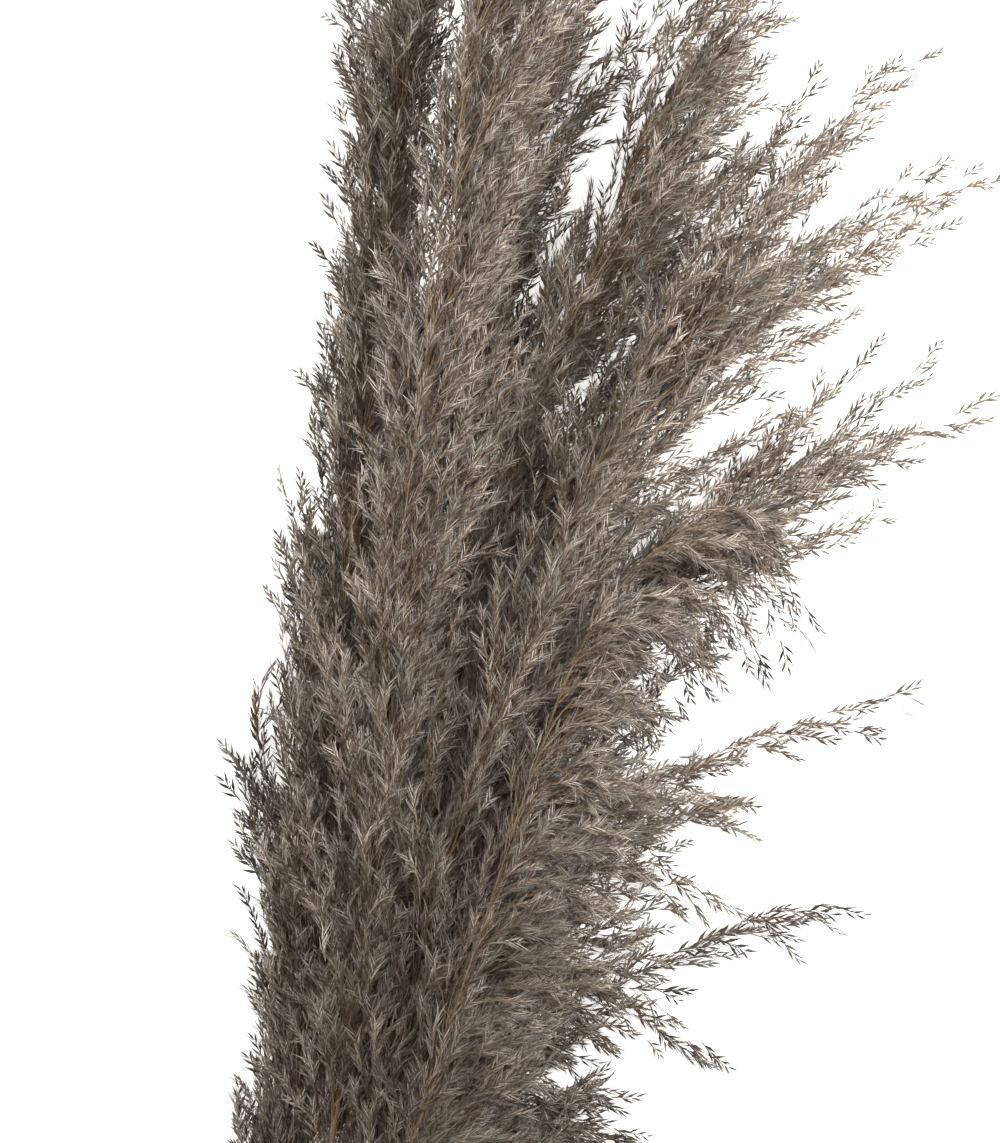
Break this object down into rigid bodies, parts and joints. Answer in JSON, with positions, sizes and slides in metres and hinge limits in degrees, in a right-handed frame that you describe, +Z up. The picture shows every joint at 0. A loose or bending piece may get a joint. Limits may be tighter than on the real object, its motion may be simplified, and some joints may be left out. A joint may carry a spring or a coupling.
{
  "type": "bundle of pampas grass",
  "caption": "Tied bundle of dried pampas grass lying on its side: slender cut canes held by twine, with long feathery plumes that nod to one side.",
  "frame": {"origin": "middle of the bounding box, on the surface that the bundle lies on", "axes": "+Y along the bundle from the cut ends to the plume tips, +X the way the plumes nod, +Z up from the surface"},
  "size_m": [0.433, 1.3194, 0.1562],
  "materials": {
    "plume": "dry silky seed plume, dark grey-brown with pale tips",
    "stalk": "dry straw-coloured cane, faintly glossy",
    "twine": "matte natural plant fibre twine"
  },
  "bodies": {
    "root": {"stalk_1": "stalk", "stalk_2": "stalk", "stalk_3": "stalk", "stalk_4": "stalk", "stalk_5": "stalk", "stalk_6": "stalk", "stalk_7": "stalk", "stalk_8": "stalk", "stalk_9": "stalk", "stalk_10": "stalk", "stalk_11": "stalk", "plume_1": "plume", "plume_2": "plume", "plume_3": "plume", "plume_4": "plume", "plume_5": "plume", "plume_6": "plume", "plume_7": "plume", "plume_8": "plume", "plume_9": "plume", "plume_10": "plume", "plume_11": "plume", "twine_tie": "twine"}
  },
  "joints": []
}
